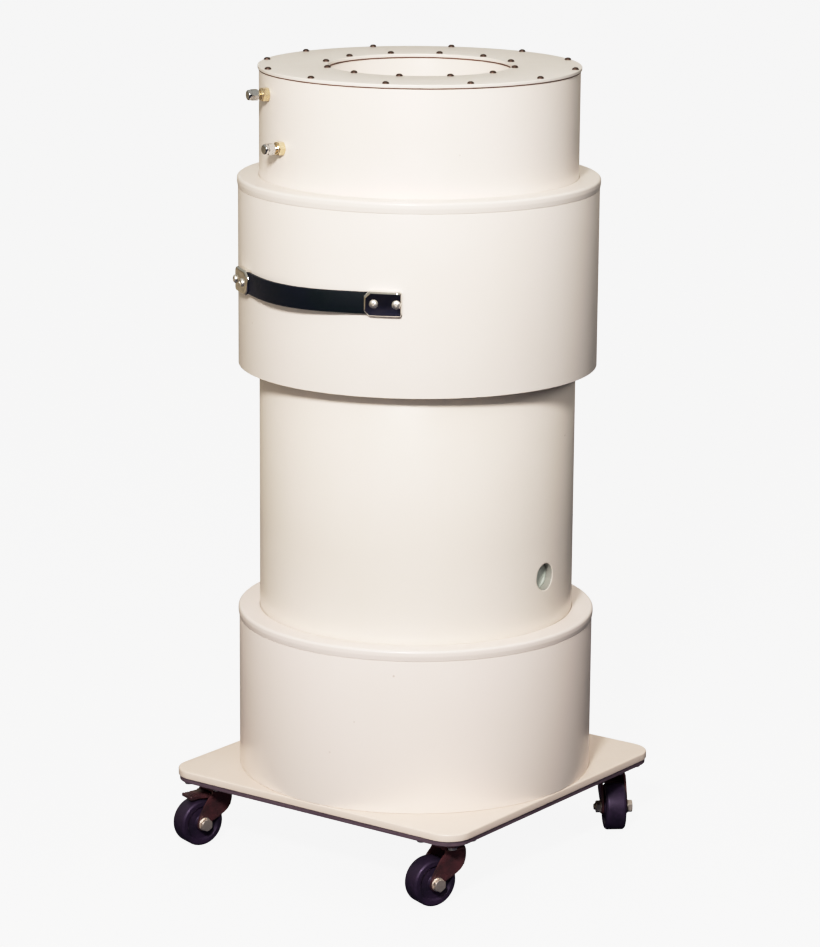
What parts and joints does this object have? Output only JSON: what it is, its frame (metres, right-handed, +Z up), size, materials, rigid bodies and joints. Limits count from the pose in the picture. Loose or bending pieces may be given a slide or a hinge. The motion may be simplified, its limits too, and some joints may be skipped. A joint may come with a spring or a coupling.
{
  "type": "dust collector",
  "caption": "Cartridge dust collector: stepped round white housing with top inlet, strap-handled lift-off head and plugged hose port, on a square dolly with swivel casters.",
  "frame": {"origin": "on the floor, on the axis of the round housing", "axes": "+Z up along the housing; -Y is the front, where the front carrying strap is; +X points to the hose port; the deck's sides lie along X and Y"},
  "size_m": [0.4065, 0.4314, 0.8906],
  "materials": {
    "white_pvc": "cream-white rigid PVC, light gloss, solvent-welded and painted",
    "cover_pvc": "pale grey rigid plastic sheet, satin",
    "dark_board": "dark stained board",
    "red_rubber": "red-brown gasket rubber, matt",
    "black_strap": "black moulded strap with a leather grain, satin",
    "chrome": "polished chrome",
    "brass": "bright machined brass",
    "zinc": "zinc-plated steel",
    "fork_steel": "black enamel over pressed steel",
    "wheel_rubber": "hard black rubber, satin",
    "filter_paper": "pleated filter paper",
    "filter_cap": "moulded black plastic",
    "pail_steel": "galvanised sheet",
    "foam_seal": "closed-cell foam"
  },
  "bodies": {
    "root": {"deck": "white_pvc", "base_drum": "white_pvc", "drum_shoulder_ring": "white_pvc", "body_tube": "white_pvc", "port_plug": "white_pvc", "filter_seat_ring": "white_pvc", "deck_underplate": "dark_board", "filter_top_cap": "filter_cap", "filter_bottom_cap": "filter_cap", "filter_media": "filter_paper", "dust_pail": "pail_steel", "caster_front_right_plate": "fork_steel", "caster_front_left_plate": "fork_steel", "caster_rear_right_plate": "fork_steel", "caster_rear_left_plate": "fork_steel"},
    "head": {"neck_tube": "white_pvc", "collar_shoulder_ring": "white_pvc", "collar_sleeve": "white_pvc", "throat_tube": "white_pvc", "header_floor": "white_pvc", "cover_plate": "cover_pvc", "cover_gasket_outer": "red_rubber", "cover_gasket_inner": "red_rubber", "head_seal": "foam_seal", "filter_seal": "foam_seal", "front_strap": "black_strap", "front_strap_cap_left": "chrome", "front_strap_cap_left_screw_1": "zinc", "front_strap_cap_left_screw_2": "zinc", "front_strap_cap_right": "chrome", "front_strap_cap_right_screw_1": "zinc", "front_strap_cap_right_screw_2": "zinc", "rear_strap": "black_strap", "rear_strap_cap_left": "chrome", "rear_strap_cap_left_screw_1": "zinc", "rear_strap_cap_left_screw_2": "zinc", "rear_strap_cap_right": "chrome", "rear_strap_cap_right_screw_1": "zinc", "rear_strap_cap_right_screw_2": "zinc", "upper_fitting_body": "brass", "upper_fitting_nut": "zinc", "lower_fitting_body": "brass", "lower_fitting_nut": "zinc"},
    "caster_front_right_swivel_body": {"caster_front_right_fork": "fork_steel", "caster_front_right_axle_bolt": "zinc", "caster_front_right_axle_nut": "zinc"},
    "caster_front_right_wheel_body": {"caster_front_right_wheel": "wheel_rubber"},
    "caster_front_left_swivel_body": {"caster_front_left_fork": "fork_steel", "caster_front_left_axle_bolt": "zinc", "caster_front_left_axle_nut": "zinc"},
    "caster_front_left_wheel_body": {"caster_front_left_wheel": "wheel_rubber"},
    "brake_body": {"caster_front_left_brake_pedal": "fork_steel"},
    "caster_rear_right_swivel_body": {"caster_rear_right_fork": "fork_steel", "caster_rear_right_axle_bolt": "zinc", "caster_rear_right_axle_nut": "zinc"},
    "caster_rear_right_wheel_body": {"caster_rear_right_wheel": "wheel_rubber"},
    "caster_rear_left_swivel_body": {"caster_rear_left_fork": "fork_steel", "caster_rear_left_axle_bolt": "zinc", "caster_rear_left_axle_nut": "zinc"},
    "caster_rear_left_wheel_body": {"caster_rear_left_wheel": "wheel_rubber"}
  },
  "joints": [
    {"name": "head_lift", "type": "slide", "parent": "root", "child": "head", "axis": [0, 0, 1], "range_m": [0, 0.15]},
    {"name": "caster_front_right_swivel", "type": "hinge", "parent": "root", "child": "caster_front_right_swivel_body", "pos_m": [0.165, -0.165, 0.064], "axis": [0, 0, 1], "continuous": true},
    {"name": "caster_front_right_roll", "type": "hinge", "parent": "caster_front_right_swivel_body", "child": "caster_front_right_wheel_body", "pos_m": [0.15747, -0.1846, 0.027], "axis": [0.9336, -0.3584, 0], "continuous": true},
    {"name": "caster_front_left_swivel", "type": "hinge", "parent": "root", "child": "caster_front_left_swivel_body", "pos_m": [-0.165, -0.165, 0.064], "axis": [0, 0, 1], "continuous": true},
    {"name": "caster_front_left_roll", "type": "hinge", "parent": "caster_front_left_swivel_body", "child": "caster_front_left_wheel_body", "pos_m": [-0.17184, -0.18486, 0.027], "axis": [0.9455, -0.3256, 0], "continuous": true},
    {"name": "caster_front_left_brake", "type": "hinge", "parent": "caster_front_left_swivel_body", "child": "brake_body", "pos_m": [-0.16858, -0.1754, 0.058], "axis": [0.9455, -0.3256, 0], "range_deg": [0, 6]},
    {"name": "caster_rear_right_swivel", "type": "hinge", "parent": "root", "child": "caster_rear_right_swivel_body", "pos_m": [0.165, 0.165, 0.064], "axis": [0, 0, 1], "continuous": true},
    {"name": "caster_rear_right_roll", "type": "hinge", "parent": "caster_rear_right_swivel_body", "child": "caster_rear_right_wheel_body", "pos_m": [0.17878, 0.14915, 0.027], "axis": [0.7547, 0.6561, 0], "continuous": true},
    {"name": "caster_rear_left_swivel", "type": "hinge", "parent": "root", "child": "caster_rear_left_swivel_body", "pos_m": [-0.165, 0.165, 0.064], "axis": [0, 0, 1], "continuous": true},
    {"name": "caster_rear_left_roll", "type": "hinge", "parent": "caster_rear_left_swivel_body", "child": "caster_rear_left_wheel_body", "pos_m": [-0.17253, 0.1846, 0.027], "axis": [-0.9336, -0.3584, 0], "continuous": true}
  ]
}
